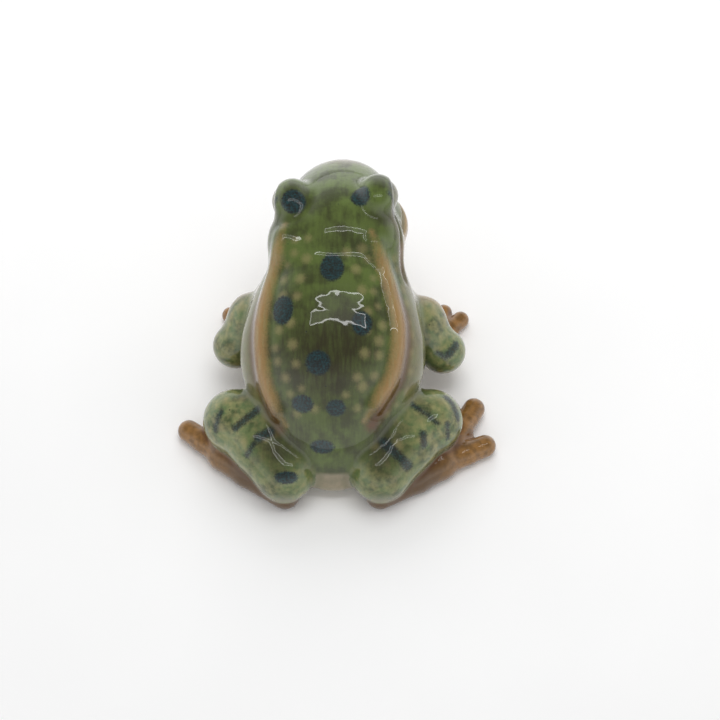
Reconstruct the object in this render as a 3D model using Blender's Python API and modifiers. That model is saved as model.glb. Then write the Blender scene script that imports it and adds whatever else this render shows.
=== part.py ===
"""Glazed ceramic frog figurine, as the separate clay parts that are luted together before firing.

A hollow slip-cast torso with its head carries two hind legs, two hind feet, two front legs, two front feet
and two eye pellets. The frog sits on the plane z = 0, facing +Y, with +X on its right hand side.
Sizes are in millimetres and angles in degrees; lengths are turned into metres as the shapes are made.
Plan angles run from +X towards +Y on the frog's right, and are mirrored on its left.
"""

import math

import bmesh
import bpy
from mathutils import Euler, Matrix, Vector

MM = 0.001

# Torso: a tilted egg. The rump is placed from the egg's lower end, the chest and nape from its upper end.
BARREL_HALF_WIDTH = 18.4
BARREL_HALF_LENGTH = 18.8
BARREL_HALF_DEPTH = 13.2
BARREL_PITCH = 36.0
BARREL_CENTRE_Z = 16.8
RUMP_RADII = (13.5, 11.5, 9.0)
RUMP_OFFSET = (0.0, 3.6, 4.0)
RUMP_PITCH = 38.0
CHEST_RADII = (15.2, 12.0, 13.0)
CHEST_OFFSET = (0.5, -4.0, -9.0)
CHEST_PITCH = 25.0
NAPE_RADII = (11.8, 10.5, 7.5)
NAPE_OFFSET = (1.0, -0.7, -0.6)
NAPE_PITCH = 14.0

# Belly pad: the flat that the frog rests on. It sinks below the ground and is cut off there.
BELLY_PAD_RADII = (10.5, 12.4, 4.8)
BELLY_PAD_OVERHANG = 8.0
BELLY_PAD_SINK = 1.4

# Head, in its own axes: nose down, rolled to the left and turned to the right.
SKULL_RADII = (10.6, 12.5, 7.6)
SKULL_OFFSET = (1.0, 9.3, 1.8)
HEAD_PITCH = -14.0
HEAD_ROLL = -6.0
HEAD_YAW = -3.0
MUZZLE_RADII = (10.0, 9.0, 6.2)
MUZZLE_OFFSET = (0.0, 6.5, -1.0)
SNOUT_RADII = (7.6, 7.4, 5.2)
SNOUT_OFFSET = (0.0, 9.5, -1.2)
JAW_RADII = (13.4, 14.0, 5.6)
JAW_OFFSET = (0.3, 1.2, -4.5)

# Eye pellets, pressed into the upper corners of the skull.
EYE_RADII = (4.2, 5.2, 4.2)
EYE_INSET = 2.5
EYE_SETBACK = 0.8
EYE_DROP = 0.5

# Slip-cast wall, and the vent that lets the kiln gas out of the hollow.
WALL = 3.0
VENT_RADIUS = 3.5

# Hind legs: thigh and shank folded together, knee outwards and heel back beside the rump.
HIP_RADIUS = 6.0
HIP_INSET = 7.0
HIP_FORWARD = 4.4
HIP_HEIGHT = 9.2
THIGH_LENGTH = 8.2
THIGH_PLAN = 4.0
THIGH_RISE = -8.0
KNEE_RADIUS = 6.1
SHANK_LENGTH = 14.8
SHANK_PLAN = 227.0
SHANK_RISE = -6.0
CALF_RISE = 4.0
HEEL_RADIUS = 5.7

# Hind feet: a flat metatarsal from behind the heel, then three toes as (plan angle, length).
HIND_FOOT_RADIUS = 3.1
HIND_FOOT_SINK = 1.0
HIND_FOOT_SETBACK = 2.6
HIND_TOE_RADIUS = 2.3
HIND_TOE_SWELL = 0.4
LEFT_METATARSAL = (37.0, 15.3)
RIGHT_METATARSAL = (31.0, 13.8)
# The innermost hind toes stop behind the front legs, whose place the barrel's length sets.
LEFT_TOE_CLEARANCE = 7.6
RIGHT_TOE_CLEARANCE = 4.2
LEFT_HIND_TOES = ((36.0, 9.4), (80.0, 8.6), (103.0, BARREL_HALF_LENGTH - LEFT_TOE_CLEARANCE))
RIGHT_HIND_TOES = ((24.0, 10.2), (60.0, 14.8), (92.0, BARREL_HALF_LENGTH - RIGHT_TOE_CLEARANCE))

# Front legs: upper arm out and back to the elbow, forearm forwards and down to the wrist.
SHOULDER_RADIUS = 5.2
SHOULDER_INSET = 4.0
SHOULDER_OFFSET = (0.0, 0.4, -1.2)
UPPER_ARM_PLAN = -28.0
ELBOW_RADIUS = 4.4
FOREARM_LENGTH = 9.0
FOREARM_RISE = -40.0
WRIST_RADIUS = 2.8
LEFT_UPPER_ARM = (13.0, -40.0)
RIGHT_UPPER_ARM = (15.2, -34.0)
LEFT_FOREARM_PLAN = 112.0
RIGHT_FOREARM_PLAN = 96.0

# Front feet: a small palm under the wrist with three toes.
PALM_RADIUS = 2.6
PALM_LENGTH = 1.5
PALM_FORWARD = 0.6
PALM_SINK = 0.8
FRONT_TOE_RADIUS = 1.8
FRONT_TOE_SWELL = 0.3
FRONT_TOE_LENGTH = 7.8
LEFT_FRONT_TOE_PLANS = (128.0, 103.0, 78.0)
RIGHT_FRONT_TOE_PLANS = (48.0, 78.0, 110.0)
TOE_SINK = 0.5

# The layer of slip between two clay parts.
LUTE_GAP = 0.3

# How finely each kind of surface is fused, how far it is softened, and the share of its faces kept.
TORSO_SURFACE = (0.8, 36, 0.12)
HOLLOW_SURFACE = (0.8, 10, 0.12)
HIND_LEG_SURFACE = (0.5, 8, 0.1)
FRONT_LEG_SURFACE = (0.5, 6, 0.1)
HIND_FOOT_SURFACE = (0.4, 4, 0.09)
FRONT_FOOT_SURFACE = (0.4, 3, 0.1)
EYE_SURFACE = (0.5, 2, 0.14)
BALL_SEGMENTS = 40
BAR_SEGMENTS = 32
GROUND_BLOCK = 200.0

# Underglaze colours, linear RGB, and the gloss of the clear glaze over them.
COLOURS = {
    "back_green": (0.105, 0.125, 0.045),
    "leg_green": (0.150, 0.180, 0.085),
    "foot_tan": (0.330, 0.190, 0.075),
    "eye_teal": (0.012, 0.032, 0.030),
}
GLAZE_ROUGHNESS = 0.12

LEFT = -1
RIGHT = 1

parts = bpy.data.collections.new("ceramic_frog")
cutters = bpy.data.collections.new("cutters")


def clear_scene():
    for thing in list(bpy.data.objects):
        bpy.data.objects.remove(thing)
    for group in (parts, cutters):
        bpy.context.scene.collection.children.link(group)


def turned(pitch=0.0, roll=0.0, yaw=0.0):
    """Rotation by roll about Y, then pitch that lifts the +Y end, then yaw about Z."""
    return Euler((math.radians(pitch), math.radians(roll), math.radians(yaw)), "YXZ").to_matrix()


def heading(side, plan, rise=0.0):
    """Unit vector along the plan angle on that side of the frog, rising by rise degrees."""
    flat = math.cos(math.radians(rise))
    across = math.cos(math.radians(plan)) * flat
    along = math.sin(math.radians(plan)) * flat
    return Vector((side * across, along, math.sin(math.radians(rise))))


def add_ellipsoid(shape, centre, radii, turn=None):
    """Adds one closed ellipsoid to the bmesh."""
    spin = (turn or Matrix.Identity(3)).to_4x4()
    stretch = Matrix.Diagonal((*radii, 1 / MM)) * MM
    bmesh.ops.create_uvsphere(
        shape,
        u_segments=BALL_SEGMENTS,
        v_segments=BALL_SEGMENTS // 2,
        radius=1,
        matrix=Matrix.Translation(Vector(centre) * MM) @ spin @ stretch,
    )


def add_bar(shape, start, end, start_radius, end_radius):
    """Adds a closed tapered bar between two points to the bmesh."""
    along = end - start
    turn = along.to_track_quat("Z", "Y").to_matrix().to_4x4()
    bmesh.ops.create_cone(
        shape,
        cap_ends=True,
        segments=BAR_SEGMENTS,
        radius1=start_radius * MM,
        radius2=end_radius * MM,
        depth=along.length * MM,
        matrix=Matrix.Translation((start + end) / 2 * MM) @ turn,
    )


def made(name, shape, group):
    """An object of this name from a bmesh, with round shading."""
    mesh = bpy.data.meshes.new(name)
    shape.to_mesh(mesh)
    shape.free()
    mesh.shade_smooth()
    thing = bpy.data.objects.new(name, mesh)
    group.objects.link(thing)
    return thing


def made_cutter(name, shape):
    """A cutter of this name from a bmesh, shown as a wire and never rendered."""
    return as_cutter(made(name, shape, cutters))


def as_cutter(thing):
    thing.hide_render = True
    thing.display_type = "WIRE"
    return thing


def applied(thing):
    """Turns the object's modifiers into its mesh."""
    graph = bpy.context.evaluated_depsgraph_get()
    mesh = bpy.data.meshes.new_from_object(thing.evaluated_get(graph))
    thing.modifiers.clear()
    thing.data = mesh
    return thing


def fused(thing, surface):
    """Melts the object's overlapping solids into one soft skin."""
    voxel, smoothing, keep = surface
    remesh = thing.modifiers.new("fuse", "REMESH")
    remesh.mode = "VOXEL"
    remesh.voxel_size = voxel * MM
    smooth = thing.modifiers.new("soften", "SMOOTH")
    smooth.factor = 0.5
    smooth.iterations = smoothing
    thin = thing.modifiers.new("thin", "DECIMATE")
    thin.ratio = keep
    thin.use_collapse_triangulate = True
    return applied(thing)


def grown(thing, distance):
    """A cutter in the shape of the object, swollen by distance."""
    copy = bpy.data.objects.new(thing.name + "_grown", thing.data.copy())
    cutters.objects.link(copy)
    swell = copy.modifiers.new("swell", "DISPLACE")
    swell.strength = distance * MM
    swell.mid_level = 0
    return applied(as_cutter(copy))


def cut(thing, *tools):
    """Takes each tool away from the object."""
    for tool in tools:
        away = thing.modifiers.new("cut_" + tool.name, "BOOLEAN")
        away.operation = "DIFFERENCE"
        away.solver = "EXACT"
        away.use_self = True
        away.object = tool
    return applied(thing)


def painted(thing, colour):
    """Gives the object the glazed material of this colour."""
    material = bpy.data.materials.get(colour) or bpy.data.materials.new(colour)
    material.use_nodes = True
    glaze = material.node_tree.nodes["Principled BSDF"]
    glaze.inputs["Base Color"].default_value = (*COLOURS[colour], 1)
    glaze.inputs["Roughness"].default_value = GLAZE_ROUGHNESS
    thing.data.materials.clear()
    thing.data.materials.append(material)


class Body:
    """Centres of the torso and head forms. Every other part is placed from these."""

    tilt = turned(pitch=BARREL_PITCH)
    barrel = Vector((0, 0, BARREL_CENTRE_Z))
    upper_end = barrel + tilt @ Vector((0, BARREL_HALF_LENGTH, 0))
    lower_end = barrel - tilt @ Vector((0, BARREL_HALF_LENGTH, 0))
    rump = lower_end + Vector(RUMP_OFFSET)
    chest = upper_end + Vector(CHEST_OFFSET)
    nape = upper_end + Vector(NAPE_OFFSET)
    belly_pad = Vector(
        (0, lower_end.y + BELLY_PAD_RADII[1] - BELLY_PAD_OVERHANG, BELLY_PAD_RADII[2] - BELLY_PAD_SINK)
    )
    head_turn = turned(pitch=HEAD_PITCH, roll=HEAD_ROLL, yaw=HEAD_YAW)
    skull = upper_end + Vector(SKULL_OFFSET)
    muzzle = skull + head_turn @ Vector(MUZZLE_OFFSET)
    snout = skull + head_turn @ Vector(SNOUT_OFFSET)
    jaw = skull + head_turn @ Vector(JAW_OFFSET)


def hollowed_forms():
    """(centre, radii, turn) of the torso and head forms that are hollow inside."""
    return [
        (Body.barrel, (BARREL_HALF_WIDTH, BARREL_HALF_LENGTH, BARREL_HALF_DEPTH), Body.tilt),
        (Body.chest, CHEST_RADII, turned(pitch=CHEST_PITCH)),
        (Body.nape, NAPE_RADII, turned(pitch=NAPE_PITCH)),
        (Body.skull, SKULL_RADII, Body.head_turn),
    ]


def solid_forms():
    """(centre, radii, turn) of the torso and head forms that the slip fills."""
    return [
        (Body.rump, RUMP_RADII, turned(pitch=RUMP_PITCH)),
        (Body.muzzle, MUZZLE_RADII, Body.head_turn),
        (Body.snout, SNOUT_RADII, Body.head_turn),
        (Body.jaw, JAW_RADII, Body.head_turn),
        (Body.belly_pad, BELLY_PAD_RADII, None),
    ]


def skin_of(forms, shrink=0.0):
    """A bmesh of all these ellipsoids, each with its surface moved in by shrink."""
    shape = bmesh.new()
    for centre, radii, turn in forms:
        add_ellipsoid(shape, centre, [radius - shrink for radius in radii], turn)
    return shape


def torso():
    """The torso and head as one closed skin, not yet hollow."""
    return fused(made("torso_shell", skin_of(hollowed_forms() + solid_forms()), parts), TORSO_SURFACE)


def hollow():
    """The space left inside when the slip is poured out."""
    return fused(made_cutter("hollow", skin_of(hollowed_forms(), shrink=WALL)), HOLLOW_SURFACE)


def vent():
    """The bore from under the belly pad up into the hollow."""
    shape = bmesh.new()
    foot = Vector((0, Body.belly_pad.y, -Body.barrel.z))
    head = Vector((0, Body.belly_pad.y, Body.barrel.z))
    add_bar(shape, foot, head, VENT_RADIUS, VENT_RADIUS)
    return made_cutter("vent", shape)


def ground():
    """Everything below the plane that the frog sits on."""
    shape = bmesh.new()
    drop = Matrix.Translation((0, 0, -GROUND_BLOCK / 2 * MM))
    bmesh.ops.create_cube(shape, size=GROUND_BLOCK * MM, matrix=drop)
    return made_cutter("ground", shape)


def limb(name, chains, surface):
    """One part fused from chains of (point, radius): a ball at each and a tapered bar between them."""
    shape = bmesh.new()
    for chain in chains:
        for point, radius in chain:
            add_ellipsoid(shape, point, (radius,) * 3)
        for (start, start_radius), (end, end_radius) in zip(chain, chain[1:]):
            add_bar(shape, start, end, start_radius, end_radius)
    return fused(made(name, shape, parts), surface)


def hind_leg(side, name):
    """Returns the leg and its heel point."""
    hip = Vector((side * (BARREL_HALF_WIDTH - HIP_INSET), Body.lower_end.y + HIP_FORWARD, HIP_HEIGHT))
    knee = hip + heading(side, THIGH_PLAN, THIGH_RISE) * THIGH_LENGTH
    calf = knee + heading(side, SHANK_PLAN, CALF_RISE) * (SHANK_LENGTH / 2)
    heel = knee + heading(side, SHANK_PLAN, SHANK_RISE) * SHANK_LENGTH
    chain = [(hip, HIP_RADIUS), (knee, KNEE_RADIUS), (calf, KNEE_RADIUS), (heel, HEEL_RADIUS)]
    return limb(name, [chain], HIND_LEG_SURFACE), heel


def toe_chain(root, side, plan, length, radius, swell):
    """A toe along the ground. It is thicker by swell where it leaves the foot."""
    tip = root + heading(side, plan) * length
    tip.z = radius - TOE_SINK
    return [(root, radius + swell), (tip, radius)]


def hind_foot(side, name, heel, metatarsal, toes):
    """A foot on the ground from behind the heel to the tips of its toes."""
    plan, length = metatarsal
    back = Vector((heel.x, heel.y - HIND_FOOT_SETBACK, HIND_FOOT_RADIUS - HIND_FOOT_SINK))
    ball = back + heading(side, plan) * length
    chains = [[(back, HIND_FOOT_RADIUS), (ball, HIND_FOOT_RADIUS)]]
    for toe_plan, toe_length in toes:
        chains.append(toe_chain(ball, side, toe_plan, toe_length, HIND_TOE_RADIUS, HIND_TOE_SWELL))
    return limb(name, chains, HIND_FOOT_SURFACE)


def front_leg(side, name, upper_arm, forearm_plan):
    """Returns the leg and its wrist point."""
    length, rise = upper_arm
    reach = side * (CHEST_RADII[0] - SHOULDER_INSET)
    shoulder = Vector((reach, Body.chest.y, Body.chest.z)) + Vector(SHOULDER_OFFSET)
    elbow = shoulder + heading(side, UPPER_ARM_PLAN, rise) * length
    wrist = elbow + heading(side, forearm_plan, FOREARM_RISE) * FOREARM_LENGTH
    chain = [(shoulder, SHOULDER_RADIUS), (elbow, ELBOW_RADIUS), (wrist, WRIST_RADIUS)]
    return limb(name, [chain], FRONT_LEG_SURFACE), wrist


def front_foot(side, name, wrist, toe_plans):
    """A palm on the ground under the wrist, ending in its toes."""
    palm = Vector((wrist.x, wrist.y + PALM_FORWARD, PALM_RADIUS - PALM_SINK))
    chains = [[(palm - Vector((0, PALM_LENGTH, 0)), PALM_RADIUS), (palm, PALM_RADIUS)]]
    for plan in toe_plans:
        chains.append(toe_chain(palm, side, plan, FRONT_TOE_LENGTH, FRONT_TOE_RADIUS, FRONT_TOE_SWELL))
    return limb(name, chains, FRONT_FOOT_SURFACE)


def eye(side, name):
    """A pellet on the skull's upper corner."""
    across = side * (SKULL_RADII[0] - EYE_INSET)
    spot = Vector((across, -EYE_SETBACK, SKULL_RADII[2] - EYE_INSET - EYE_DROP))
    shape = bmesh.new()
    add_ellipsoid(shape, Body.skull + Body.head_turn @ spot, EYE_RADII, Body.head_turn)
    return fused(made(name, shape, parts), EYE_SURFACE)


def fit_limb(leg, foot, torso_lute, floor):
    """Carves a foot to the torso, and its leg to the torso and the foot, leaving the lute gap."""
    cut(foot, torso_lute, floor)
    cut(leg, torso_lute, grown(foot, LUTE_GAP), floor)
    painted(leg, "leg_green")
    painted(foot, "foot_tan")


def centre_on_origin():
    """Moves every part so that the origin is under the middle of the whole frog."""
    corners = [Vector(corner) for thing in parts.objects for corner in thing.bound_box]
    middle_x = (min(c.x for c in corners) + max(c.x for c in corners)) / 2
    middle_y = (min(c.y for c in corners) + max(c.y for c in corners)) / 2
    for thing in parts.objects:
        thing.location = (-middle_x, -middle_y, 0)


def build():
    clear_scene()
    floor = ground()
    shell = torso()
    torso_lute = grown(shell, LUTE_GAP)
    cut(shell, floor, hollow(), vent())
    painted(shell, "back_green")

    for side, hand, metatarsal, toes in (
        (LEFT, "left", LEFT_METATARSAL, LEFT_HIND_TOES),
        (RIGHT, "right", RIGHT_METATARSAL, RIGHT_HIND_TOES),
    ):
        leg, heel = hind_leg(side, f"hind_leg_{hand}")
        foot = hind_foot(side, f"hind_foot_{hand}", heel, metatarsal, toes)
        fit_limb(leg, foot, torso_lute, floor)

    for side, hand, upper_arm, forearm_plan, toe_plans in (
        (LEFT, "left", LEFT_UPPER_ARM, LEFT_FOREARM_PLAN, LEFT_FRONT_TOE_PLANS),
        (RIGHT, "right", RIGHT_UPPER_ARM, RIGHT_FOREARM_PLAN, RIGHT_FRONT_TOE_PLANS),
    ):
        leg, wrist = front_leg(side, f"front_leg_{hand}", upper_arm, forearm_plan)
        foot = front_foot(side, f"front_foot_{hand}", wrist, toe_plans)
        fit_limb(leg, foot, torso_lute, floor)
        pellet = cut(eye(side, f"eye_{hand}"), torso_lute)
        painted(pellet, "eye_teal")
    centre_on_origin()


build()
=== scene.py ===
import math
from collections import Counter

import bpy
import numpy as np
from mathutils import Matrix, Vector


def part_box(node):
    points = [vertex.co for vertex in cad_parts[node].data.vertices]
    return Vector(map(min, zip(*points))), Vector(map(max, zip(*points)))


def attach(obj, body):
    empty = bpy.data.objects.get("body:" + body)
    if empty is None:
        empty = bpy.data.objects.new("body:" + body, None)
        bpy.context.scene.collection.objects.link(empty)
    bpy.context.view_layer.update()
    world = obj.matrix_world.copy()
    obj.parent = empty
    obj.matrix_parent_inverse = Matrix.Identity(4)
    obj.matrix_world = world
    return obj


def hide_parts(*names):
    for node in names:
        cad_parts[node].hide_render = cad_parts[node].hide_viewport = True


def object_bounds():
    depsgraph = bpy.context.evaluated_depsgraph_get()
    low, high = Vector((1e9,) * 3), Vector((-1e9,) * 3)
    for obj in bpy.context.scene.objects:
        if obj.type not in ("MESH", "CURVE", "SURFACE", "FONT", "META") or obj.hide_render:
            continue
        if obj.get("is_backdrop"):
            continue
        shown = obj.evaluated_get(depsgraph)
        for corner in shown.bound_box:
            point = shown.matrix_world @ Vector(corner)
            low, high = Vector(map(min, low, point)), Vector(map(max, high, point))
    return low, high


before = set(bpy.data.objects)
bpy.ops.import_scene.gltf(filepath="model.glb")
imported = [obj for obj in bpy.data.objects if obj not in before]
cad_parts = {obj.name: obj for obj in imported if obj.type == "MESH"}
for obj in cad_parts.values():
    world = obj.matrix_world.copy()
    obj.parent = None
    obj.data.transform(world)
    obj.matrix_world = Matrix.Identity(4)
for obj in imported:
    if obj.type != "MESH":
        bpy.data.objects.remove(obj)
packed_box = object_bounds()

MM = 0.001
BOX = {name: [np.array(corner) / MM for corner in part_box(name)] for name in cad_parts}
# Lengths below are in millimetres on a frog whose torso is 36.42 mm wide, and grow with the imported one.
UNIT = float((BOX["torso_shell"][1] - BOX["torso_shell"][0])[0]) / 36.42
GRID = 0.3 * UNIT
GRID_CELLS = 5
SIDES = {"left": -1, "right": 1}
# A distance in millimetres that stands for being far from a mark or from the surface.
FAR = 9.0


def at(node, x, y, z):
    """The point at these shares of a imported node's box."""
    low, high = BOX[node]
    return (low + (high - low) * np.array((x, y, z))).astype(np.float32)


def scaled(*sizes):
    return np.array(sizes, np.float32) * np.float32(UNIT)


# ---- distance fields ---------------------------------------------------------------------------
def turned(pitch=0.0, roll=0.0, yaw=0.0):
    """Columns are a form's own axes: pitch lifts its front end, roll leans it, yaw swings it."""
    spin = Matrix.Rotation(math.radians(yaw), 3, "Z") @ Matrix.Rotation(math.radians(pitch), 3, "X")
    return np.array(spin @ Matrix.Rotation(math.radians(roll), 3, "Y"), np.float32)


def melt(a, b, reach):
    """The nearer of two fields, with a soft fillet where they meet."""
    reach = reach * UNIT
    near = np.maximum(reach - np.abs(a - b), 0) / reach
    return np.minimum(a, b) - near * near * reach * 0.25


def carve(a, b, reach):
    """Field a with everything inside b taken away, and a softened edge."""
    return -melt(-a, b, reach)


def egg(p, centre, radii, axes=None):
    q = p - centre
    if axes is not None:
        q = q @ axes
    outer = np.linalg.norm(q / radii, axis=1)
    return outer * (outer - 1) / np.maximum(np.linalg.norm(q / (radii * radii), axis=1), 1e-6)


def bar(p, start, end, start_radius, end_radius):
    """Two balls and the tangent cone between them."""
    along = end - start
    square = float(along @ along)
    drop = start_radius - end_radius
    slope = square - drop * drop
    q = p - start
    y = q @ along
    z = y - square
    side = ((q * square - y[:, None] * along) ** 2).sum(1)
    limit = math.copysign(1, drop) * drop * drop * side
    body = (np.sqrt(side * slope / square) + y * drop) / square - start_radius
    first = np.sqrt(side + y * y * square) / square - start_radius
    last = np.sqrt(side + z * z * square) / square - end_radius
    body = np.where(np.sign(y) * slope * y * y * square < limit, first, body)
    return np.where(np.sign(z) * slope * z * z * square > limit, last, body)


def limb(p, points, radii, reach=0.8):
    radii = scaled(*radii)
    field = None
    for start, end, first, last in zip(points[:-1], points[1:], radii[:-1], radii[1:]):
        piece = bar(p, start, end, float(first), float(last))
        field = piece if field is None else melt(field, piece, reach)
    return field


def off_path(p, points):
    """Distance from the nearest part of a path of straight lines."""
    best = np.full(len(p), 1e3, np.float32)
    for start, end in zip(points[:-1], points[1:]):
        along = end - start
        share = np.clip(((p - start) @ along) / max(float(along @ along), 1e-9), 0, 1)
        best = np.minimum(best, np.linalg.norm(p - start - share[:, None] * along, axis=1))
    return best


def off_tapered(p, path, first, last):
    """Distance in millimetres from a brush line that thins out towards its ends."""
    best = np.full(len(p), FAR, np.float32)
    for number, point in enumerate(path):
        share = number / (len(path) - 1)
        thin = first * (1 - rise(share, 0, 0.2)) + last * rise(share, 0.78, 1)
        best = np.minimum(best, np.linalg.norm(p - point, axis=1) / UNIT + thin)
    return best


def rise(value, low, high):
    """Nought up to low, one from high, and a smooth climb between."""
    share = np.clip((value - low) / (high - low), 0, 1)
    return share * share * (3 - 2 * share)


def bump(distance, width):
    return np.exp(-((distance / (width * UNIT)) ** 2))


# ---- the frog's forms --------------------------------------------------------------------------
BARREL = at("torso_shell", 0.5, 0.357, 0.448)
RUMP = at("torso_shell", 0.5, 0.172, 0.26)
CHEST = at("torso_shell", 0.514, 0.536, 0.502)
NAPE = at("torso_shell", 0.527, 0.588, 0.726)
PAD = at("torso_shell", 0.5, 0.185, 0.091)
SKULL = at("torso_shell", 0.527, 0.747, 0.79)
NECK = at("torso_shell", 0.51, 0.535, 0.95)
HEAD_AXES = turned(pitch=-14, roll=-6, yaw=-3)
EYES = {side: (BOX["eye_" + side][0] + BOX["eye_" + side][1]) / 2 for side in SIDES}


def head_space(p):
    return (p - SKULL) @ HEAD_AXES


def eye_middle(side):
    """The middle of an eye, in the head's own axes."""
    return head_space(EYES[side][None].astype(np.float32))[0]


def trunk(p):
    field = egg(p, BARREL, scaled(18.4, 18.8, 13.2), turned(pitch=36))
    field = melt(field, egg(p, RUMP, scaled(13.5, 11.5, 9), turned(pitch=38)), 5)
    field = melt(field, egg(p, CHEST, scaled(15.2, 12, 13), turned(pitch=25)), 5)
    field = melt(field, egg(p, PAD, scaled(10.5, 12.4, 4.8)), 3)
    return melt(field, egg(p, NAPE, scaled(11.8, 10.5, 7.5), turned(pitch=14)), 5)


def head(p):
    q = head_space(p)
    field = egg(q, scaled(0, 0, 0), scaled(10.6, 12.5, 7.6))
    field = melt(field, egg(q, scaled(0, 6.5, -1), scaled(10, 9, 6.2)), 3)
    field = melt(field, egg(q, scaled(0, 9.5, -1.2), scaled(7.6, 7.4, 5.2)), 3)
    field = melt(field, egg(q, scaled(0.3, 1.2, -4.5), scaled(13.4, 14, 5.6)), 3)
    field = melt(field, egg(q, scaled(-8.6, -6, -0.5), scaled(5, 6.5, 5)), 3)
    field = melt(field, egg(q, scaled(8.0, -5.5, -1), scaled(4.6, 6, 4.6)), 3)
    mouth = q[:, 2] + (3.5 - 0.004 * (q[:, 0] / UNIT) ** 2) * UNIT
    ahead = rise(q[:, 1] / UNIT, -4, -1)
    return field + 0.42 * UNIT * bump(mouth, 0.42) * ahead


def smooth_torso(p):
    away = p - NECK
    dip = bump(away[:, 1], 4.2) * bump(away[:, 0], 11) * rise(away[:, 2] / UNIT, -9, -3)
    return melt(trunk(p), head(p), 3.5) + 0.75 * UNIT * dip


def drop_on(field, point):
    """The point moved straight up or down onto the upper side of a form."""
    heights = np.arange(60 * UNIT, -1, -0.05, dtype=np.float32)
    column = np.empty((len(heights), 3), np.float32)
    column[:, 0] = point[0]
    column[:, 1] = point[1]
    column[:, 2] = heights
    inside = field(column) < 0
    landed = column[int(np.argmax(inside))] if inside.any() else column[-1]
    return landed


# A raised fold runs from behind each eye down the side of the back, at these shares of the torso's plan.
FOLD_PLAN = {
    "left": ((0.245, 0.65), (0.205, 0.56), (0.155, 0.46), (0.125, 0.34),
             (0.14, 0.23), (0.19, 0.16), (0.255, 0.1)),
    "right": ((0.71, 0.61), (0.765, 0.53), (0.81, 0.45), (0.85, 0.34),
              (0.825, 0.23), (0.75, 0.16), (0.67, 0.1)),
}


def curved(points, parts=12):
    """A smooth line through the points, as a path of short straight ones."""
    points = np.array(points, float)
    ends = np.concatenate([[2 * points[0] - points[1]], points, [2 * points[-1] - points[-2]]])
    out = []
    for a, b, c, d in zip(ends[:-3], ends[1:-2], ends[2:-1], ends[3:]):
        for t in np.arange(parts) / parts:
            square = (2 * a - 5 * b + 4 * c - d) * t * t
            cube = (3 * b - a - 3 * c + d) * t ** 3
            out.append(0.5 * (2 * b + (c - a) * t + square + cube))
    return out + [points[-1]]


FOLDS = {
    side: [drop_on(smooth_torso, at("torso_shell", x, y, 0.5)) for x, y in curved(plan)]
    for side, plan in FOLD_PLAN.items()
}


def torso(p):
    field = smooth_torso(p)
    for path in FOLDS.values():
        sunk = [point - scaled(0, 0, 0.65) for point in path[4:-6:3]]
        field = melt(field, off_path(p, sunk) - 0.95 * UNIT, 2.2)
    q = head_space(p)
    for side in SIDES.values():
        nostril = np.linalg.norm(q - scaled(side * 2.6, 14.2, 1.6), axis=1)
        field = field + 0.45 * UNIT * bump(nostril, 0.6)
        behind_eye = scaled(side * 11.2, -2.5, 1.2)
        ear = off_path(q, [behind_eye, scaled(side * 13.2, -8, -3), scaled(side * 12.6, -12, -8)])
        field = field + 0.5 * UNIT * bump(ear, 0.9)
    return field


def eye(p, side):
    """A domed lid with the eyeball bulging from its outer side, inside a grooved rim."""
    field = egg(head_space(p), eye_middle(side), scaled(4.0, 5.0, 4.0))
    q = head_space(p) - eye_middle(side)
    out = SIDES[side]
    ball = egg(q, scaled(out * 1.75, 0.5, -0.4), scaled(2.3, 3.1, 2.5))
    rim = np.abs(ball - 0.35 * UNIT)
    outward = rise(q[:, 0] * out / UNIT, 1.6, 3)
    return melt(field + 0.22 * UNIT * bump(rim, 0.4) * outward, ball, 0.5)


def hind_leg(p, side):
    flip = side == "right"
    name = "hind_leg_" + side

    def place(x, y, z):
        return at(name, 1 - x if flip else x, y, z)
    hip = place(0.653, 0.698, 0.593)
    knee = place(0.278, 0.721, 0.514)
    calf = place(0.51, 0.48, 0.55)
    heel = place(0.743, 0.241, 0.403)
    thigh = bar(p, hip, knee, 6 * UNIT, 6.1 * UNIT)
    shank = limb(p, (knee, calf, heel), (6.1, 5.7, 5.95), 1.5)
    field = melt(thigh, shank, 1.2)
    crease = off_path(p, [calf + scaled(0, 0, 5), heel + (knee - heel) * 0.42 + scaled(0, 0, 6)])
    return field + 0.3 * UNIT * bump(crease, 1.1)


def hind_foot(p, side):
    name = "hind_foot_" + side
    if side == "left":
        back = at(name, 0.877, 0.111, 0.406)
        ball = at(name, 0.39, 0.474, 0.406)
        tips = (at(name, 0.088, 0.693, 0.348), at(name, 0.331, 0.808, 0.348), at(name, 0.49, 0.906, 0.348))
    else:
        back = at(name, 0.116, 0.104, 0.404)
        ball = at(name, 0.564, 0.368, 0.404)
        tips = (at(name, 0.915, 0.521, 0.347), at(name, 0.843, 0.844, 0.347), at(name, 0.545, 0.908, 0.347))
    field = limb(p, (back, back + (ball - back) * 0.6, ball), (2.95, 3.5, 3.5))
    for tip in tips:
        field = melt(field, limb(p, (ball, ball + (tip - ball) * 0.6, tip), (3.0, 2.35, 2.25)), 0.9)
    for first, second in zip(tips[:-1], tips[1:]):
        web = (ball * 1.4 + first + second) / 3.4 - scaled(0, 0, 0.6)
        field = melt(field, egg(p, web, scaled(2.6, 2.6, 1.0)), 1.2)
    return field


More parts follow.
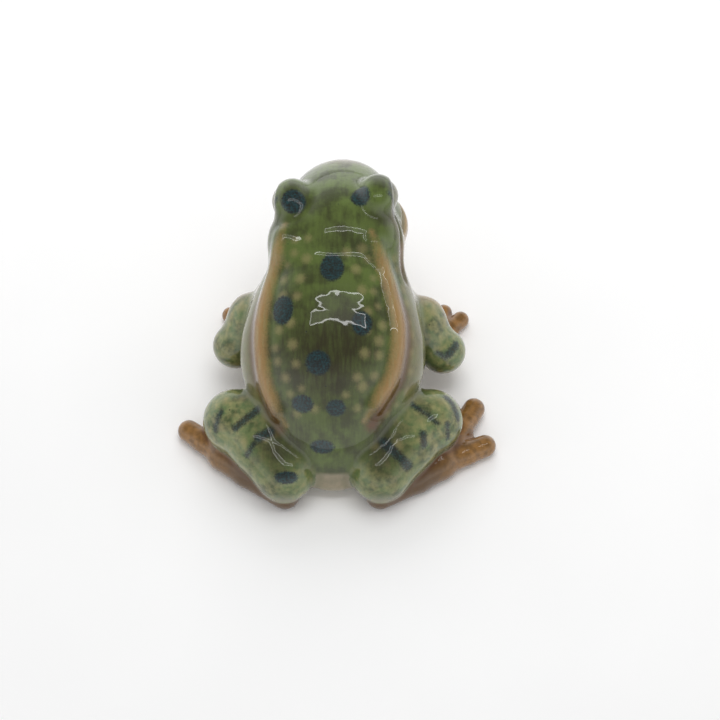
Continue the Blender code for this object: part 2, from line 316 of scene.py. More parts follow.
def front_leg(p, side):
    name = "front_leg_" + side
    if side == "right":
        shoulder = at(name, -0.082, 0.707, 0.835)
        elbow = at(name, 0.695, 0.293, 0.372)
        wrist = at(name, 0.646, 0.771, 0.058)
    else:
        shoulder = at(name, 1.027, 0.645, 0.792)
        elbow = at(name, 0.337, 0.301, 0.358)
        wrist = at(name, 0.541, 0.769, 0.057)
    field = limb(p, (shoulder, elbow, wrist), (5.1, 4.35, 2.8), 1.2)
    muscle = shoulder + (elbow - shoulder) * 0.62 + scaled(SIDES[side] * 0.4, 2.2, 0.9)
    return melt(field, egg(p, muscle, scaled(4.4, 5.2, 4.9)), 2.5)


def front_foot(p, side):
    name = "front_foot_" + side
    if side == "right":
        palm = at(name, 0.394, 0.287, 0.411)
        plans = (48, 78, 110)
    else:
        palm = at(name, 0.344, 0.286, 0.412)
        plans = (128, 103, 78)
    field = limb(p, (palm - scaled(0, 1.5, 0), palm), (2.55, 2.55))
    for plan in plans:
        ray = np.array((math.cos(math.radians(plan)), math.sin(math.radians(plan)), 0), np.float32)
        tip = palm + ray * 7.6 * UNIT
        tip[2] = 1.3 * UNIT
        field = melt(field, limb(p, (palm, palm + (tip - palm) * 0.6, tip), (2.2, 1.7, 1.8)), 0.8)
    return field


# Each part: its form, and how far it melts into the parts before it.
PARTS = {"torso_shell": (torso, 0)}
for side in SIDES:
    PARTS["eye_" + side] = (lambda p, side=side: eye(p, side), 2.0)
    PARTS["hind_leg_" + side] = (lambda p, side=side: hind_leg(p, side), 1.8)
    PARTS["hind_foot_" + side] = (lambda p, side=side: hind_foot(p, side), 0.9)
    PARTS["front_leg_" + side] = (lambda p, side=side: front_leg(p, side), 1.6)
    PARTS["front_foot_" + side] = (lambda p, side=side: front_foot(p, side), 0.9)
NAMES = list(PARTS)


def solid_skin(p):
    """The whole glazed surface: every part melted into the next, cut off flat where it stands."""
    field = None
    for form, reach in PARTS.values():
        own = form(p)
        field = own if field is None else melt(field, own, reach)
    return -melt(-field, p[:, 2], 0.5)


# The hollow body: a round vent under the belly leads up into a chamber.
VENT_RADIUS = 3.4
VENT = at("torso_shell", 0.5, 0.187, 0)
CHAMBER = at("torso_shell", 0.5, 0.33, 0.4)


def skin(p):
    field = solid_skin(p)
    bore = np.maximum(np.linalg.norm((p - VENT)[:, :2], axis=1) - VENT_RADIUS * UNIT, p[:, 2] - CHAMBER[2])
    return carve(field, melt(bore, egg(p, CHAMBER, scaled(10, 10, 6)), 1), 0.6)


# ---- meshing -----------------------------------------------------------------------------------
def sampled(field, low, high, coarse, cells):
    """Field values on a fine grid, worked out only in the coarse cells near the surface."""
    counts = np.ceil((high - low) / coarse).astype(int)
    centres = [low[i] + coarse * (np.arange(counts[i]) + 0.5) for i in range(3)]
    points = np.stack(np.meshgrid(*centres, indexing="ij"), -1).reshape(-1, 3).astype(np.float32)
    rough = field(points)
    step = coarse / cells
    sign = np.sign(rough).reshape(counts)
    for axis in range(3):
        sign = np.repeat(sign, cells, axis)
    values = np.full(counts * cells + 1, FAR, np.float32)
    values[:-1, :-1, :-1] = sign * FAR
    near = np.stack(np.unravel_index(np.nonzero(np.abs(rough) < coarse * 1.6)[0], counts), 1)
    inner = np.stack(np.meshgrid(*[np.arange(cells)] * 3, indexing="ij"), -1).reshape(-1, 3)
    for some in np.array_split(near, max(1, len(near) * cells ** 3 // 1000000)):
        index = (some[:, None, :] * cells + inner[None]).reshape(-1, 3)
        values[index[:, 0], index[:, 1], index[:, 2]] = field((low + index * step).astype(np.float32))
    return values, step


def netted(values, low, step):
    """One vertex in each grid cell that the surface crosses, joined into quads."""
    inside = values < 0
    size = np.array(values.shape) - 1
    corners = [(i, j, k) for i in (0, 1) for j in (0, 1) for k in (0, 1)]
    filled = np.zeros(size, np.int8)
    for i, j, k in corners:
        filled += inside[i:i + size[0], j:j + size[1], k:k + size[2]]
    cell = np.stack(np.nonzero((filled > 0) & (filled < 8)), 1)
    index = np.full(size, -1, np.int64)
    index[cell[:, 0], cell[:, 1], cell[:, 2]] = np.arange(len(cell))
    total = np.zeros((len(cell), 3))
    count = np.zeros(len(cell))
    for corner in corners:
        for axis in range(3):
            if corner[axis]:
                continue
            other = list(corner)
            other[axis] = 1
            here = values[tuple((cell + corner).T)]
            there = values[tuple((cell + other).T)]
            crosses = (here < 0) != (there < 0)
            point = np.tile(np.array(corner, float), (len(cell), 1))
            point[:, axis] = np.where(crosses, here / np.where(crosses, here - there, 1), 0)
            total += point * crosses[:, None]
            count += crosses
    points = low + (cell + total / count[:, None]) * step
    quads = []
    for axis in range(3):
        first = [slice(1, -1)] * 3
        second = [slice(1, -1)] * 3
        first[axis] = slice(0, -1)
        second[axis] = slice(1, None)
        edge = np.stack(np.nonzero(inside[tuple(first)] != inside[tuple(second)]), 1)
        starts_inside = inside[tuple(first)][tuple(edge.T)]
        base = edge + 1
        base[:, axis] -= 1
        across, along = [other for other in range(3) if other != axis]
        ring = []
        for back_across, back_along in ((0, 0), (1, 0), (1, 1), (0, 1)):
            spot = base.copy()
            spot[:, across] -= back_across
            spot[:, along] -= back_along
            ring.append(index[tuple(spot.T)])
        quad = np.stack(ring, 1)
        keep = starts_inside if axis != 1 else ~starts_inside
        quad[~keep] = quad[~keep][:, ::-1]
        quads.append(quad)
    quads = np.concatenate(quads)
    return points.astype(np.float32), quads[(quads >= 0).all(1)]


def slope(field, points, reach=0.06):
    """The field's gradient, which points straight out of the surface."""
    reach = reach * UNIT
    out = np.empty_like(points)
    for axis in range(3):
        offset = np.zeros(3, np.float32)
        offset[axis] = reach
        out[:, axis] = (field(points + offset) - field(points - offset)) / (2 * reach)
    return out


def settled(field, points, steps=2):
    """Points moved onto the exact surface."""
    for _ in range(steps):
        lean = slope(field, points)
        step = field(points) / np.maximum((lean * lean).sum(1), 0.1)
        points = points - (lean * step[:, None]).clip(-GRID, GRID)
    return points


def linked(count, pairs):
    """The number of the connected group that each of count things is in."""
    label = np.arange(count)
    while True:
        low = np.minimum(label[pairs[:, 0]], label[pairs[:, 1]])
        new = label.copy()
        np.minimum.at(new, pairs[:, 0], low)
        np.minimum.at(new, pairs[:, 1], low)
        new = new[new]
        if (new == label).all():
            return label
        label = new


def tidy_owners(owner, pairs, smallest=400):
    """Small stray patches go to the part around them, so each part is one patch of skin."""
    for _ in range(4):
        same = pairs[owner[pairs[:, 0]] == owner[pairs[:, 1]]]
        group = linked(len(owner), same)
        size = np.bincount(group, minlength=len(owner))[group]
        edge = pairs[owner[pairs[:, 0]] != owner[pairs[:, 1]]]
        edge = np.concatenate([edge, edge[:, ::-1]])
        small = size[edge[:, 0]] < smallest
        if not small.any():
            return owner
        gives = edge[small & (size[edge[:, 1]] > size[edge[:, 0]])]
        new_owner = dict(zip(group[gives[:, 0]].tolist(), owner[gives[:, 1]].tolist()))
        keys = np.array(list(new_owner), np.int64)
        table = np.full(len(owner), -1)
        table[keys] = list(new_owner.values())
        owner = np.where(table[group] >= 0, table[group], owner)
    return owner


def loops_of(triangles):
    """Closed runs of the edges that only one triangle uses, in the direction that closes the hole."""
    edges = np.concatenate([triangles[:, [0, 1]], triangles[:, [1, 2]], triangles[:, [2, 0]]])
    uses = Counter(map(tuple, edges.tolist()))
    follows = {}
    for (start, end), times in uses.items():
        for _ in range(times - uses.get((end, start), 0)):
            follows.setdefault(end, []).append(start)
    loops = []
    while follows:
        first = next(iter(follows))
        loop = [first]
        here = follows[first].pop()
        if not follows[first]:
            del follows[first]
        while here != first:
            loop.append(here)
            after = follows[here].pop()
            if not follows[here]:
                del follows[here]
            here = after
        loops.append(loop)
    return loops


# ---- painted marks -----------------------------------------------------------------------------
# Each spot: a node, its place as shares of that node's box, and its half width and half length.
SPOTS = (
    ("torso_shell", (0.500, 0.497, 0.914), (2.4, 3.0)),
    ("torso_shell", (0.241, 0.383, 0.793), (2.1, 3.0)),
    ("torso_shell", (0.659, 0.331, 0.801), (2.0, 2.4)),
    ("torso_shell", (0.428, 0.221, 0.712), (2.4, 2.4)),
    ("torso_shell", (0.345, 0.134, 0.550), (2.2, 1.8)),
    ("torso_shell", (0.522, 0.119, 0.551), (1.9, 1.7)),
    ("torso_shell", (0.447, 0.040, 0.382), (2.4, 1.5)),
    ("hind_leg_left", (0.778, 0.071, 0.727), (2.5, 1.3)),
    ("eye_left", (0.557, 0.218, 0.939), (2.5, 2.5)),
    ("eye_right", (0.086, 0.320, 0.826), (2.1, 2.1)),
)
# Each bar: a node, the shares at its two ends, and its half width.
BARS = (
    ("hind_leg_left", (0.499, 0.647, 1.015), (0.311, 0.503, 0.911), 0.75),
    ("hind_leg_left", (0.169, 0.659, 0.930), (0.113, 0.539, 0.759), 0.55),
    ("hind_leg_left", (0.621, 0.446, 0.957), (0.515, 0.386, 0.958), 0.9),
    ("hind_leg_left", (0.480, 0.339, 0.921), (0.415, 0.268, 0.787), 0.5),
    ("hind_leg_right", (0.549, 0.702, 1.005), (0.765, 0.557, 0.902), 0.5),
    ("hind_leg_right", (0.280, 0.355, 0.930), (0.500, 0.190, 0.726), 1.0),
    ("hind_leg_right", (0.636, 0.438, 0.925), (0.644, 0.354, 0.853), 0.7),
    ("hind_leg_right", (0.864, 0.820, 0.885), (0.963, 0.660, 0.763), 0.8),
    ("hind_leg_right", (0.858, 0.569, 0.843), (0.869, 0.489, 0.674), 0.5),
    ("front_leg_right", (0.660, 0.600, 0.720), (0.600, 0.420, 0.740), 0.55),
    ("front_leg_right", (0.868, 0.221, 0.580), (0.752, 0.073, 0.554), 0.8),
    ("front_leg_right", (0.610, 0.087, 0.578), (0.724, 0.041, 0.532), 0.45),
)
SEED = 7
# The rust below each fold begins this many steps along the fold.
SKIRT_START = 20


def dot_places():
    """Pale dots in rows beside each fold, over the haunches and down the upper arms."""
    chance = np.random.default_rng(SEED)
    places = []
    for side, path in FOLDS.items():
        out = SIDES[side]
        for inset, spacing in ((-2.9, 3.3), (3.1, 3.3), (6.0, 4.4)):
            lengths = [float(np.linalg.norm(b - a)) for a, b in zip(path[:-1], path[1:])]
            ends = np.cumsum([0.0] + lengths)
            for along in np.arange(spacing, ends[-1], spacing * UNIT):
                leg = int(np.searchsorted(ends, along)) - 1
                share = (along - ends[leg]) / lengths[leg]
                point = path[leg] + (path[leg + 1] - path[leg]) * share
                point = point + scaled(-out * inset, 0, 0) + scaled(*chance.uniform(-0.5, 0.5, 2), 0)
                if abs(point[0] - BARREL[0]) < 15.5 * UNIT:
                    places.append((drop_on(smooth_torso, point), chance.uniform(0.4, 0.85)))
        for wide in (0.18, 0.38, 0.58, 0.78):
            for long in (0.36, 0.56, 0.76, 0.92):
                across = wide if out < 0 else 1 - wide
                spot = at("hind_leg_" + side, across, long, 0.5)
                spot = spot + scaled(*chance.uniform(-0.7, 0.7, 2), 0)
                place = drop_on(lambda p, side=side: hind_leg(p, side), spot)
                places.append((place, chance.uniform(0.5, 0.95)))
        for share in (0.3, 0.5, 0.7):
            across = 0.15 + 0.8 * share if out > 0 else 0.85 - 0.8 * share
            spot = at("front_leg_" + side, across, 0.75 - 0.4 * share, 0.5)
            place = drop_on(lambda p, side=side: front_leg(p, side), spot)
            places.append((place, chance.uniform(0.6, 1.0)))
    return places


def painted(points, normals):
    """What the brushes left at each point: distances in millimetres from marks, and shares of each colour;
    also how deep each point lies in a crease, for painted shade.
    """
    paint = {}
    spot = np.full(len(points), FAR, np.float32)
    for node, share, (wide, long) in SPOTS:
        away = points - at(node, *share)
        ring = np.sqrt((away[:, 0] / wide) ** 2 + (away[:, 1] ** 2 + away[:, 2] ** 2) / long ** 2) / UNIT
        spot = np.minimum(spot, (ring - 1) * (wide + long) / 2)
    paint["spot"] = spot
    ink = np.full(len(points), FAR, np.float32)
    for node, start, end, half in BARS:
        ink = np.minimum(ink, off_path(points, [at(node, *start), at(node, *end)]) / UNIT - half)
    q = head_space(points)
    for side, out in SIDES.items():
        ball = eye_middle(side) + scaled(out * 3.6, -0.6, -0.3)
        for lean, half in ((-1.9, 0.45), (0.2, 0.6)):
            stroke = [ball + scaled(-out * 1.0, lean + 0.3, 2.6), ball + scaled(0, lean - 0.5, -2.6)]
            ink = np.minimum(ink, off_path(q, stroke) / UNIT - half)
    paint["ink"] = ink
    paint["fold"] = np.minimum(*[off_tapered(points, path, 1.2, 1.3) for path in FOLDS.values()])
    skirts = []
    for side, path in FOLDS.items():
        below = scaled(SIDES[side] * 1.5, -0.3, -1.1)
        skirts.append([point + below for point in path[SKIRT_START:]])
    paint["skirt"] = np.minimum(*[off_tapered(points, path, 1.5, 0.6) for path in skirts])
    dots = np.full(len(points), FAR, np.float32)
    for place, half in dot_places():
        dots = np.minimum(dots, np.linalg.norm(points - place, axis=1) / UNIT - half)
    paint["dot"] = dots
    fields = {name: form(points) / UNIT for name, (form, _) in PARTS.items()}

    def share(word, soft):
        own = np.min([fields[name] for name in NAMES if word in name], axis=0)
        rest = np.min([fields[name] for name in NAMES if word not in name], axis=0)
        return rise(rest - own, -soft, soft)
    height = points[:, 2] / UNIT
    paint["foot"] = share("foot", 0.35)
    paint["leg"] = share("hind_leg", 1.2)
    paint["arm"] = share("front_leg", 1.2)
    white = [egg(q, eye_middle(side) + scaled(out * 4.2, -0.6, -1.0), scaled(2.4, 3.6, 3.4))
             for side, out in SIDES.items()]
    paint["white"] = rise(-np.minimum(*white) / UNIT, -0.5, 0.5)
    under_leg = rise(-height, -4.6, -3.2)
    under_body = rise(-height, -8.6, -7.2)
    low = np.where(paint["leg"] > 0.5, under_leg, under_body) * (1 - paint["foot"])
    under = rise(-normals[:, 2], 0.1, 0.5) * (1 - paint["foot"])
    paint["pale"] = np.maximum(under, low)
    paint["toe"] = np.zeros(len(points), np.float32)
    for side in SIDES:
        heel = at("hind_foot_" + side, 0.9 if side == "left" else 0.1, 0.1, 0.4)
        near = np.linalg.norm((points - heel)[:, :2], axis=1)
        paint["toe"] = np.maximum(paint["toe"], rise(near / UNIT, 9, 20) * share("hind_foot_" + side, 0.3))
    paint["toe"] = np.maximum(paint["toe"], share("front_foot", 0.3))
    brown = 1.1 * bump(np.linalg.norm(points - at("torso_shell", 0.47, 0.25, 0.72), axis=1), 12.5)
    brown += 0.55 * bump(np.linalg.norm(points - at("torso_shell", 0.5, 0.62, 0.95), axis=1), 4.5)
    for side in SIDES:
        bulb = at("hind_leg_" + side, 0.7 if side == "left" else 0.3, 0.28, 0.85)
        brown += 1.0 * bump(np.linalg.norm(points - bulb, axis=1), 6.0)
    for side, out in SIDES.items():
        behind = EYES[side] + scaled(out * 0.5, -5, -2)
        brown += 0.75 * bump(np.linalg.norm(points - behind, axis=1), 4.4)
    paint["brown"] = np.clip(brown, 0, 1)
    tan = 0.9 * bump(np.linalg.norm(q - scaled(0.5, 15.5, 2), axis=1), 5)
    jaw = rise(-q[:, 2] / UNIT, 1.2, 3.6) * rise(q[:, 1] / UNIT, -11, -6)
    paint["tan"] = np.clip(tan + jaw, 0, 1)
    rust = np.zeros(len(points), np.float32)
    for out in SIDES.values():
        ear = [scaled(out * 10.4, -3.5, 1.6), scaled(out * 13.0, -8, -3), scaled(out * 12.4, -12, -8)]
        rust = np.maximum(rust, bump(off_path(q, ear), 1.7))
    paint["rust"] = rust
    side_on = rise(np.abs(points[:, 0] - BARREL[0]) / UNIT, 12.5, 15.5) * (1 - rise(height, 26, 31))
    paint["flank"] = side_on * (1 - paint["leg"]) * (1 - paint["arm"])
    # Painted shade: how far each point lies down in a crease or hollow, which the glaze darkens there.
    reach = 1.1
    hollow = 1 - solid_skin(points + normals * reach * UNIT) / (reach * UNIT)
    paint["crease"] = np.clip(hollow * 2.2, 0, 1)
    return paint


# ---- pieces ------------------------------------------------------------------------------------
def neighbours(quads):
    """Pairs of quads that share an edge."""
    edges = np.sort(np.stack([quads, np.roll(quads, -1, 1)], -1).reshape(-1, 2), 1)
    face = np.repeat(np.arange(len(quads)), 4)
    order = np.lexsort((edges[:, 1], edges[:, 0]))
    edges = edges[order]
    face = face[order]
    same = (edges[1:] == edges[:-1]).all(1)
    return np.stack([face[:-1][same], face[1:][same]], 1)


def halved(points, quads):
    """Two triangles from each quad, cut along its shorter diagonal."""
    a, b, c, d = (quads[:, i] for i in range(4))
    first = np.linalg.norm(points[a] - points[c], axis=1) <= np.linalg.norm(points[b] - points[d], axis=1)
    one = np.where(first[:, None], np.stack([a, b, c], 1), np.stack([a, b, d], 1))
    two = np.where(first[:, None], np.stack([a, c, d], 1), np.stack([b, c, d], 1))
    return np.concatenate([one, two])


LID_DEPTH = 0.4


def closed(points, triangles):
    """The patch with a lid on each open edge. The lids lie inside the frog, where the next piece begins."""
    lids = []
    tops = []
    for loop in loops_of(triangles):
        ring = points[loop]
        middle = ring.mean(0)
        after = np.roll(ring, -1, 0)
        facing = np.cross(ring - middle, after - middle).sum(0)
        facing = facing / max(float(np.linalg.norm(facing)), 1e-9)
        top = len(points) + len(tops)
        tops.append(middle - facing * LID_DEPTH * UNIT)
        lids += [(a, b, top) for a, b in zip(loop, loop[1:] + loop[:1])]
    return tops, lids


def made_piece(name, points, normals, paint, triangles, material):
    used, local = np.unique(triangles, return_inverse=True)
    local = local.reshape(-1, 3)
    own = points[used]
    tops, lids = closed(own, local)
    if tops:
        own = np.concatenate([own, np.array(tops, np.float32)])
    faces = np.concatenate([local, np.array(lids, np.int64).reshape(-1, 3)])
    mesh = bpy.data.meshes.new(name)
    mesh.vertices.add(len(own))
    mesh.vertices.foreach_set("co", (own * MM).astype(np.float32).ravel())
    mesh.loops.add(len(faces) * 3)
    mesh.loops.foreach_set("vertex_index", faces.astype(np.int32).ravel())
    mesh.polygons.add(len(faces))
    mesh.polygons.foreach_set("loop_start", np.arange(0, len(faces) * 3, 3, dtype=np.int32))
    mesh.update(calc_edges=True)
    lean = np.concatenate([normals[used], np.zeros((len(tops), 3), np.float32)])[faces]
    flat = np.cross(own[faces[:, 1]] - own[faces[:, 0]], own[faces[:, 2]] - own[faces[:, 0]])
    flat = flat / np.maximum(np.linalg.norm(flat, axis=1), 1e-12)[:, None]
    lean[len(local):] = flat[len(local):, None]
    mesh.normals_split_custom_set(lean.reshape(-1, 3))
    for key, values in paint.items():
        layer = mesh.attributes.new(key, "FLOAT", "POINT")
        own_values = np.concatenate([values[used], np.zeros(len(tops))])
        layer.data.foreach_set("value", own_values.astype(np.float32))
    mesh.materials.append(material)
    piece = bpy.data.objects.new(name, mesh)
    bpy.context.scene.collection.objects.link(piece)
    return piece


# ---- glaze -------------------------------------------------------------------------------------
def shade(code):
    """A hex colour as the linear numbers that shaders use."""
    parts = [int(code[i:i + 2], 16) / 255 for i in (0, 2, 4)]
    return tuple(c / 12.92 if c < 0.04045 else ((c + 0.055) / 1.055) ** 2.4 for c in parts) + (1.0,)


class Shader:
    def __init__(self, name):
        self.material = bpy.data.materials.new(name)
        self.material.use_nodes = True
        self.tree = self.material.node_tree
        self.out = self.tree.nodes["Principled BSDF"]
        place = self.tree.nodes.new("ShaderNodeTexCoord")
        self.place = self.tree.nodes.new("ShaderNodeVectorMath")
        self.place.operation = "SCALE"
        self.place.inputs["Scale"].default_value = 1 / (MM * UNIT)
        self.tree.links.new(place.outputs["Object"], self.place.inputs[0])

    def join(self, value, socket):
        if isinstance(value, bpy.types.NodeSocket):
            self.tree.links.new(value, socket)
        else:
            socket.default_value = value

    def attribute(self, name):
        node = self.tree.nodes.new("ShaderNodeAttribute")
        node.attribute_name = name
        return node.outputs["Fac"]

    def math(self, operation, *values):
        node = self.tree.nodes.new("ShaderNodeMath")
        node.operation = operation
        for value, socket in zip(values, node.inputs):
            self.join(value, socket)
        return node.outputs[0]

    def plus(self, one, other):
        return self.math("ADD", one, other)

    def times(self, one, other):
        return self.math("MULTIPLY", one, other)

    def ramp(self, value, low, high, start=0.0, end=1.0):
        node = self.tree.nodes.new("ShaderNodeMapRange")
        node.interpolation_type = "SMOOTHSTEP"
        for key, number in zip(("From Min", "From Max", "To Min", "To Max"), (low, high, start, end)):
            node.inputs[key].default_value = number
        self.join(value, node.inputs["Value"])
        return node.outputs["Result"]

    def stretched(self, stretch):
        node = self.tree.nodes.new("ShaderNodeVectorMath")
        node.operation = "MULTIPLY"
        self.tree.links.new(self.place.outputs[0], node.inputs[0])
        node.inputs[1].default_value = stretch
        return node.outputs[0]

    def noise(self, scale, detail=3.0, stretch=(1, 1, 1), rough=0.55):
        node = self.tree.nodes.new("ShaderNodeTexNoise")
        node.inputs["Scale"].default_value = scale
        node.inputs["Detail"].default_value = detail
        node.inputs["Roughness"].default_value = rough
        self.tree.links.new(self.stretched(stretch), node.inputs["Vector"])
        return node.outputs["Fac"]

    def cells(self, scale, feature="F1"):
        node = self.tree.nodes.new("ShaderNodeTexVoronoi")
        node.feature = feature
        node.inputs["Scale"].default_value = scale
        self.tree.links.new(self.place.outputs[0], node.inputs["Vector"])
        return node.outputs["Distance"]

    def mix(self, share, under, over):
        node = self.tree.nodes.new("ShaderNodeMix")
        node.data_type = "RGBA"
        self.join(share, node.inputs["Factor"])
        self.join(under, node.inputs["A"])
        self.join(over, node.inputs["B"])
        return node.outputs["Result"]

    def patchy(self, name, noise, low, high, thin, thick):
        """An attribute's share of paint, thinner and thicker in patches."""
        return self.times(self.attribute(name), self.ramp(noise, low, high, thin, thick))

    def mark(self, name, shaken, outside, inside, cover):
        """How much a painted mark covers, from nought outside its shaken edge to cover inside it."""
        edge = self.plus(self.attribute(name), shaken)
        return self.ramp(edge, outside, inside, 0.0, cover)

    def lift(self, height, rise_mm, socket):
        """Relief of this height in millimetres, on one of the shader's normals."""
        node = self.tree.nodes.new("ShaderNodeBump")
        node.inputs["Strength"].default_value = 1.0
        node.inputs["Distance"].default_value = rise_mm * MM * UNIT
        self.join(height, node.inputs["Height"])
        self.tree.links.new(node.outputs["Normal"], self.out.inputs[socket])


COLOURS = {
    "green": shade("586a2c"),
    "deep green": shade("363f14"),
    "olive brown": shade("241c00"),
    "arm green": shade("5b6f46"),
    "limb light": shade("9c9664"),
    "limb deep": shade("3f4c2b"),
    "flank": shade("6c6540"),
    "fold": shade("9c7a4c"),
    "fold pale": shade("9c8458"),
    "rust": shade("5a3216"),
    "tan": shade("927646"),
    "foot": shade("543a16"),
    "toe": shade("8e6632"),
    "cream": shade("8f8458"),
    "belly": shade("9c8f78"),
    "teal": shade("10373c"),
    "black": shade("070f0f"),
    "eye white": shade("8f8a76"),
}


def glaze(name):
    """Brushed underglaze colours on pale clay, with painted shade darkening the creases, under a clear glaze
    with pits and faint crackle.
    """
    s = Shader(name)
    c = COLOURS
    broad = s.noise(0.22, 3)
    medium = s.noise(0.75, 4)
    fine = s.noise(2.6, 3)
    speck = s.noise(7.0, 2)
    streak = s.noise(0.9, 3, stretch=(1.6, 0.28, 0.28))
    grit = s.times(s.math("SUBTRACT", speck, 0.5), 0.9)
    wobble = s.math("MULTIPLY_ADD", s.math("SUBTRACT", fine, 0.5), 1.1, grit)
    shaken = s.times(wobble, 0.9)
    pooled = s.ramp(s.plus(broad, s.times(streak, 0.25)), 0.5, 0.8)
    body = s.mix(pooled, c["green"], c["deep green"])
    body = s.mix(s.patchy("brown", streak, 0.2, 0.8, 0.65, 0.95), body, c["olive brown"])
    limbs = s.math("MAXIMUM", s.attribute("leg"), s.attribute("arm"))
    limb_green = s.mix(s.ramp(broad, 0.45, 0.62), c["arm green"], c["limb deep"])
    limb_green = s.mix(s.ramp(medium, 0.3, 0.8, 0.0, 0.85), limb_green, c["limb light"])
    bare = s.math("SUBTRACT", 0.9, s.times(s.attribute("brown"), 0.8))
    body = s.mix(s.times(limbs, bare), body, limb_green)
    body = s.mix(s.patchy("flank", medium, 0.3, 0.7, 0.5, 0.9), body, c["flank"])
    body = s.mix(s.patchy("tan", fine, 0.3, 0.7, 0.75, 1.0), body, c["tan"])
    body = s.mix(s.times(s.attribute("white"), 0.75), body, c["eye white"])
    body = s.mix(s.mark("dot", shaken, 0.85, -0.6, 0.5), body, c["cream"])
    body = s.mix(s.mark("skirt", wobble, 3.0, 0.6, 0.85), body, c["rust"])
    body = s.mix(s.patchy("rust", fine, 0.3, 0.6, 0.5, 1.0), body, c["rust"])
    fold_colour = s.mix(s.ramp(streak, 0.4, 0.65), c["fold"], c["fold pale"])
    body = s.mix(s.mark("fold", shaken, 2.4, 0.6, 0.88), body, fold_colour)
    body = s.mix(s.patchy("pale", medium, 0.2, 0.7, 1.0, 0.75), body, c["belly"])
    feet = s.mix(s.patchy("toe", medium, 0.3, 0.65, 0.35, 1.0), c["foot"], c["toe"])
    body = s.mix(s.attribute("foot"), body, feet)
    # Painted shade: creases and hollows are darkened toward deep green, and toward rust on the feet.
    crease_shade_colour = s.mix(s.attribute("foot"), c["deep green"], c["rust"])
    body = s.mix(s.times(s.attribute("crease"), 0.55), body, crease_shade_colour)
    spot_colour = s.mix(s.ramp(fine, 0.35, 0.7), c["black"], c["teal"])
    body = s.mix(s.mark("spot", wobble, 0.35, -0.35, 0.97), body, spot_colour)
    ink_colour = s.mix(s.ramp(fine, 0.4, 0.7), c["black"], c["teal"])
    body = s.mix(s.mark("ink", wobble, 0.55, -0.4, 0.88), body, ink_colour)
    pit = s.times(s.ramp(s.cells(0.42), 0.09, 0.05), s.ramp(medium, 0.52, 0.6))
    body = s.mix(s.times(pit, 0.8), body, c["black"])
    s.join(body, s.out.inputs["Base Color"])
    s.join(s.ramp(medium, 0.2, 0.8, 0.28, 0.42), s.out.inputs["Roughness"])
    s.out.inputs["Specular IOR Level"].default_value = 0.15
    s.out.inputs["Coat Weight"].default_value = 1.0
    s.out.inputs["Coat Roughness"].default_value = 0.03
    s.out.inputs["Coat IOR"].default_value = 1.5
    crackle = s.ramp(s.cells(0.5, "DISTANCE_TO_EDGE"), 0.0, 0.05)
    brushed = s.plus(s.times(fine, 0.5), s.times(crackle, 0.2))
    s.lift(brushed, 0.06, "Normal")
    ripple = s.math("SUBTRACT", s.noise(0.35, 1), s.times(pit, 0.25))
    s.lift(ripple, 0.05, "Coat Normal")
    return s.material


SLOTS = {"torso": "back_green", "eye": "eye_teal", "hind_leg": "leg_green", "front_leg": "leg_green"}
SLOTS.update({"hind_foot": "foot_tan", "front_foot": "foot_tan"})
GLAZES = {slot: glaze("glaze_" + slot) for slot in sorted(set(SLOTS.values()))}

low = np.array(packed_box[0]) / MM
high = np.array(packed_box[1]) / MM
coarse = GRID * GRID_CELLS
values, step = sampled(skin, low - 2 * coarse, high + 2 * coarse, coarse, GRID_CELLS)
points, quads = netted(values, low - 2 * coarse, step)
points = np.clip(settled(skin, points), low, high).astype(np.float32)
normals = slope(skin, points)
normals = normals / np.maximum(np.linalg.norm(normals, axis=1), 1e-6)[:, None]
paint = painted(points, normals)
middles = points[quads].mean(1)
owner = np.argmin(np.stack([form(middles) for form, _ in PARTS.values()]), 0)
owner = tidy_owners(owner, neighbours(quads))
for number, name in enumerate(NAMES):
    slot = next(slot for word, slot in SLOTS.items() if name.startswith(word))
    triangles = halved(points, quads[owner == number])
    piece = made_piece("glazed_" + name, points, normals, paint, triangles, GLAZES[slot])
    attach(piece, "root")
    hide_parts(name)


# ---- studio ------------------------------------------------------------------------------------
def rectangle(name, centre, across, up, wide, tall, brightness, mirrored=True):
    """A soft light of one brightness over a flat rectangle, seen or not seen in the glaze."""
    lamp = bpy.data.lights.new(name, "AREA")
    lamp.shape = "RECTANGLE"
    lamp.size = wide
    lamp.size_y = tall
    lamp.energy = brightness * math.pi * wide * tall
    facing = across.cross(up)
    lit = bpy.data.objects.new(name, lamp)
    lit.rotation_mode = "QUATERNION"
    lit.rotation_quaternion = Matrix((across, up, facing)).transposed().to_quaternion()
    lit.location = centre
    lit.visible_glossy = mirrored
    bpy.context.scene.collection.objects.link(lit)


frog_low = Vector(packed_box[0])
frog_high = Vector(packed_box[1])
span = (frog_high - frog_low).length
middle = (frog_low + frog_high) / 2

floor_mesh = bpy.data.meshes.new("floor")
reach = span * 40
drop = frog_low.z - 0.02 * MM
corners = [(-reach, -reach, drop), (reach, -reach, drop), (reach, reach, drop), (-reach, reach, drop)]
floor_mesh.from_pydata(corners, [], [(0, 1, 2, 3)])
floor = bpy.data.objects.new("floor", floor_mesh)
bpy.context.scene.collection.objects.link(floor)
paper = Shader("paper")
paper_patches = paper.ramp(paper.noise(0.02, 2), 0.3, 0.7)
paper_tone = paper.mix(paper_patches, (0.96, 0.96, 0.96, 1), (0.98, 0.98, 0.98, 1))
paper.join(paper_tone, paper.out.inputs["Base Color"])
paper.out.inputs["Roughness"].default_value = 0.9
paper.out.inputs["Specular IOR Level"].default_value = 0.1
floor_mesh.materials.append(paper.material)
floor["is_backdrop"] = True

world = bpy.data.worlds.new("studio")
world.use_nodes = True
bpy.context.scene.world = world
sky = world.node_tree.nodes["Background"]
direction = world.node_tree.nodes.new("ShaderNodeTexCoord")
split = world.node_tree.nodes.new("ShaderNodeSeparateXYZ")
fade = world.node_tree.nodes.new("ShaderNodeMapRange")
fade.interpolation_type = "SMOOTHSTEP"
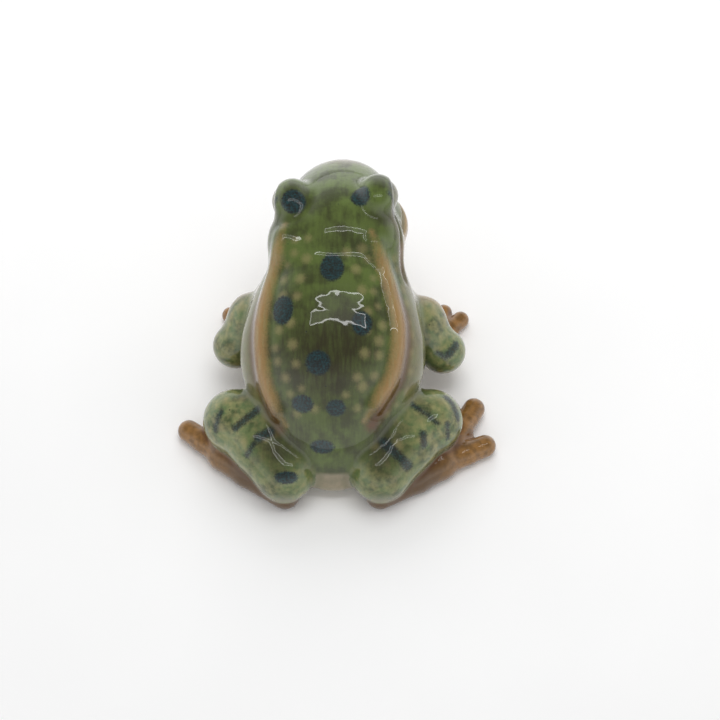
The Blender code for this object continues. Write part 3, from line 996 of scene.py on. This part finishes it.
for key, number in zip(("From Min", "From Max", "To Min", "To Max"), (0.15, 0.85, 1.3, 0.34)):
    fade.inputs[key].default_value = number
world.node_tree.links.new(direction.outputs["Generated"], split.inputs[0])
world.node_tree.links.new(split.outputs["Z"], fade.inputs["Value"])
world.node_tree.links.new(fade.outputs["Result"], sky.inputs["Strength"])
sky.inputs["Color"].default_value = (1.0, 1.0, 1.0, 1.0)

# Overhead lies a dim panel inside a thin bright frame, which the glaze mirrors as fine outlines.
lamp_height = span * 3.0
lamp_middle = middle + Vector((0.09 * lamp_height, -0.10 * lamp_height, lamp_height))
aim = (middle - lamp_middle).normalized()
across = Vector((1, 0, 0))
across = (across - aim * across.dot(aim)).normalized()
up = (-aim).cross(across)
wide = 0.95 * lamp_height
tall = 0.14 * lamp_height
edge = 0.014 * lamp_height
FRAME_BRIGHTNESS = 9
near = lamp_middle + aim * 0.02 * lamp_height
rectangle("panel", lamp_middle, across, up, wide, tall, 0.6)
rectangle("frame_near", near - up * tall / 2, across, up, wide + edge, edge, FRAME_BRIGHTNESS)
rectangle("frame_far", near + up * tall / 2, across, up, wide + edge, edge, FRAME_BRIGHTNESS)
rectangle("frame_left", near - across * wide / 2, across, up, edge, tall - edge, FRAME_BRIGHTNESS)
rectangle("frame_right", near + across * wide / 2, across, up, edge, tall - edge, FRAME_BRIGHTNESS)

# Broad lights that the glaze doesn't mirror: one overhead, and one from beyond the head.
key = lamp_middle + Vector((0, 0.25, 0.1)) * lamp_height
key_side = 0.7 * lamp_height
rectangle("key", key, across, up, key_side, key_side, 2.5, False)
beyond = middle + Vector((-0.1, 1.0, 0.85)) * lamp_height
aim = (middle - beyond).normalized()
across = aim.cross(Vector((0, 0, 1))).normalized()
up = across.cross(aim)
rectangle("beyond", beyond, across, up, 1.0 * lamp_height, 0.6 * lamp_height, 2.0, False)

# ---- camera ------------------------------------------------------------------------------------
ELEVATION = math.radians(57)
PICTURE_WIDTH = 144 * MM * UNIT
DISTANCE = 340 * MM * UNIT
back = Vector((0, -math.cos(ELEVATION), math.sin(ELEVATION)))
turn = (-back).to_track_quat("-Z", "Y")
right, above, _ = turn.to_matrix().col
rear = Vector(at("torso_shell", 0.489, 0.025, 0.0).tolist()) * MM
aimed = rear + (right * 5.8 + above * 25.4) * MM * UNIT
camera = bpy.data.objects.new("camera", bpy.data.cameras.new("camera"))
camera.data.sensor_width = 36
camera.data.lens = 36 * DISTANCE / PICTURE_WIDTH
camera.data.clip_start = 0.01
camera.rotation_mode = "QUATERNION"
camera.rotation_quaternion = turn
camera.location = aimed + back * DISTANCE
bpy.context.scene.collection.objects.link(camera)
bpy.context.scene.camera = camera
bpy.context.scene.view_settings.view_transform = "Standard"

shown_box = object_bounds()
boxes = {"cad": packed_box, "visual": shown_box}
{key: [list(corner) for corner in box] for key, box in boxes.items()}
